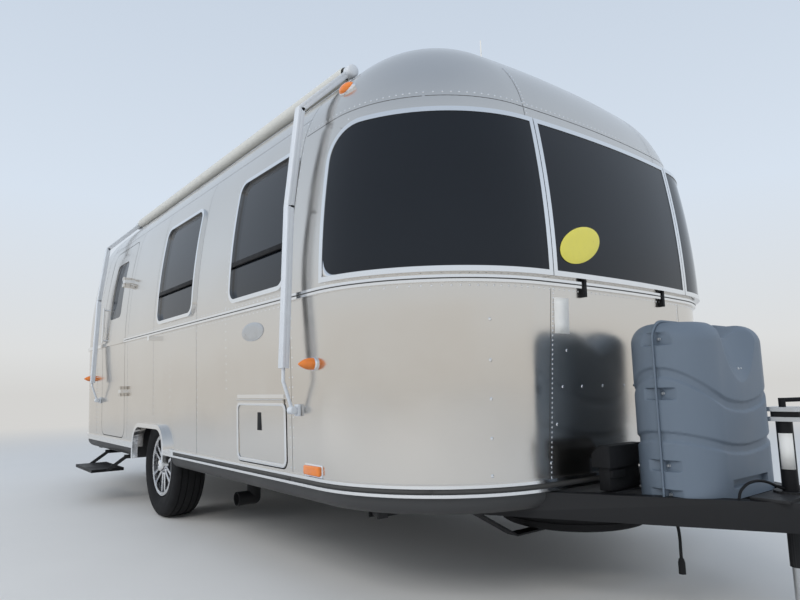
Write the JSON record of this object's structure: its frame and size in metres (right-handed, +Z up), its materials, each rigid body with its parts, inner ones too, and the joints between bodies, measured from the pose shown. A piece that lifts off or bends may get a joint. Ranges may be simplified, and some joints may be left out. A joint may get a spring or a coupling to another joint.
{
  "type": "travel caravan",
  "caption": "Riveted aluminium travel caravan with rounded ends, wrapped front windows, one axle, a braced tongue with jack, and a folding step.",
  "frame": {"origin": "on the ground below the middle of the overall length and of the body width", "axes": "+X forward to the hitch, +Y to the street side, +Z up; the door is on the -Y side"},
  "size_m": [6.83, 2.6585, 3],
  "materials": {
    "aluminium_skin": "brushed",
    "polished_trim": "polished",
    "tinted_glass": "gloss",
    "black_paint": "satin",
    "zinc": "satin",
    "tyre_rubber": "matte",
    "wheel_alloy": "machined",
    "hub_metal": "polished",
    "cover_plastic": "moulded",
    "black_plastic": "moulded",
    "cord_rubber": "matte",
    "white_plastic": "moulded",
    "underbody": "satin",
    "floor_board": "satin",
    "amber_lens": "gloss",
    "red_lens": "gloss",
    "awning_cloth": "woven",
    "awning_paint": "satin",
    "bumper_metal": "brushed"
  },
  "bodies": {
    "caravan": {"air_conditioner": "white_plastic", "awning_arms": "awning_paint", "awning_roller": "awning_cloth", "axle_beam": "black_paint", "battery_box": "black_plastic", "belly_pan": "underbody", "belt_rail": "polished_trim", "cord_gland": "black_plastic", "coupler": "black_paint", "drain_outlet": "black_plastic", "floor": "floor_board", "front_cap_lower": "aluminium_skin", "front_cap_upper": "aluminium_skin", "front_window_frames": "polished_trim", "gas_bottle_cover": "cover_plastic", "hinge_brackets": "polished_trim", "jack_cable": "cord_rubber", "kerb_wall": "aluminium_skin", "rear_bumper": "bumper_metal", "rear_cap_lower": "aluminium_skin", "rear_cap_upper": "aluminium_skin", "roof_fittings": "white_plastic", "roof_shell": "aluminium_skin", "roof_vent_base": "white_plastic", "rub_rail": "polished_trim", "side_lamps": "amber_lens", "spare_rim": "black_paint", "spare_tyre": "tyre_rubber", "stabiliser_mounts": "black_paint", "step_frame": "black_paint", "street_services": "white_plastic", "street_wall": "aluminium_skin", "tail_lamps": "red_lens", "tongue_frame": "black_paint", "tongue_jack": "black_paint", "trailer_cord": "cord_rubber", "trailer_plug": "black_plastic", "wheel_arch_trims": "polished_trim", "wheel_wells": "underbody", "window_frames": "polished_trim", "window_glass": "tinted_glass"},
    "wheel_kerb": {"tyre_kerb": "tyre_rubber", "rim_kerb": "wheel_alloy", "hub_kerb": "hub_metal"},
    "wheel_street": {"tyre_street": "tyre_rubber", "rim_street": "wheel_alloy", "hub_street": "hub_metal"},
    "door": {"entry_door": "aluminium_skin", "entry_door_glass": "tinted_glass", "entry_door_handle": "polished_trim"},
    "hatch": {"storage_hatch": "aluminium_skin"},
    "jack_foot": {"jack_leg": "zinc"},
    "step_links": {"step_arms": "black_paint"},
    "step_plate": {"step_tread": "black_paint"},
    "leg_front_kerb": {"stabiliser_front_kerb": "black_paint"},
    "leg_front_street": {"stabiliser_front_street": "black_paint"},
    "leg_rear_kerb": {"stabiliser_rear_kerb": "black_paint"},
    "leg_rear_street": {"stabiliser_rear_street": "black_paint"},
    "vent_cover": {"roof_vent_lid": "white_plastic"}
  },
  "joints": [
    {"name": "wheel_kerb_spin", "type": "hinge", "parent": "caravan", "child": "wheel_kerb", "pos_m": [-0.685, -1.0295, 0.355], "axis": [0, 1, 0], "continuous": true},
    {"name": "wheel_street_spin", "type": "hinge", "parent": "caravan", "child": "wheel_street", "pos_m": [-0.685, 1.0295, 0.355], "axis": [0, 1, 0], "continuous": true},
    {"name": "door_swing", "type": "hinge", "parent": "caravan", "child": "door", "pos_m": [-1.39, -1.243, 1.32], "axis": [0, 0, 1], "range_deg": [0, 170]},
    {"name": "hatch_lift", "type": "hinge", "parent": "caravan", "child": "hatch", "pos_m": [1.0525, -1.213, 0.82], "axis": [-1, 0, 0], "range_deg": [0, 110]},
    {"name": "jack_extend", "type": "slide", "parent": "caravan", "child": "jack_foot", "axis": [0, 0, -1], "range_m": [-0.18, 0.25]},
    {"name": "step_fold", "type": "hinge", "parent": "caravan", "child": "step_links", "pos_m": [-1.76, -1.15, 0.362], "axis": [1, 0, 0], "range_deg": [0, 135]},
    {"name": "step_level", "type": "hinge", "parent": "step_links", "child": "step_plate", "pos_m": [-1.76, -1.28516, 0.26736], "axis": [1, 0, 0], "range_deg": [-135, 0]},
    {"name": "vent_lift", "type": "hinge", "parent": "caravan", "child": "vent_cover", "pos_m": [-1.52, 0, 2.6005], "axis": [0, -1, 0], "range_deg": [0, 60]},
    {"name": "leg_front_kerb_drop", "type": "hinge", "parent": "caravan", "child": "leg_front_kerb", "pos_m": [1.75, -1, 0.35], "axis": [-1, 0, 0], "range_deg": [0, 65]},
    {"name": "leg_front_street_drop", "type": "hinge", "parent": "caravan", "child": "leg_front_street", "pos_m": [1.75, 1, 0.35], "axis": [1, 0, 0], "range_deg": [0, 65]},
    {"name": "leg_rear_kerb_drop", "type": "hinge", "parent": "caravan", "child": "leg_rear_kerb", "pos_m": [-2.9, -1, 0.35], "axis": [-1, 0, 0], "range_deg": [0, 65]},
    {"name": "leg_rear_street_drop", "type": "hinge", "parent": "caravan", "child": "leg_rear_street", "pos_m": [-2.9, 1, 0.35], "axis": [1, 0, 0], "range_deg": [0, 65]}
  ],
  "couplings": [
    {"joint": "step_level", "follows": "step_fold", "ratio": -1}
  ]
}
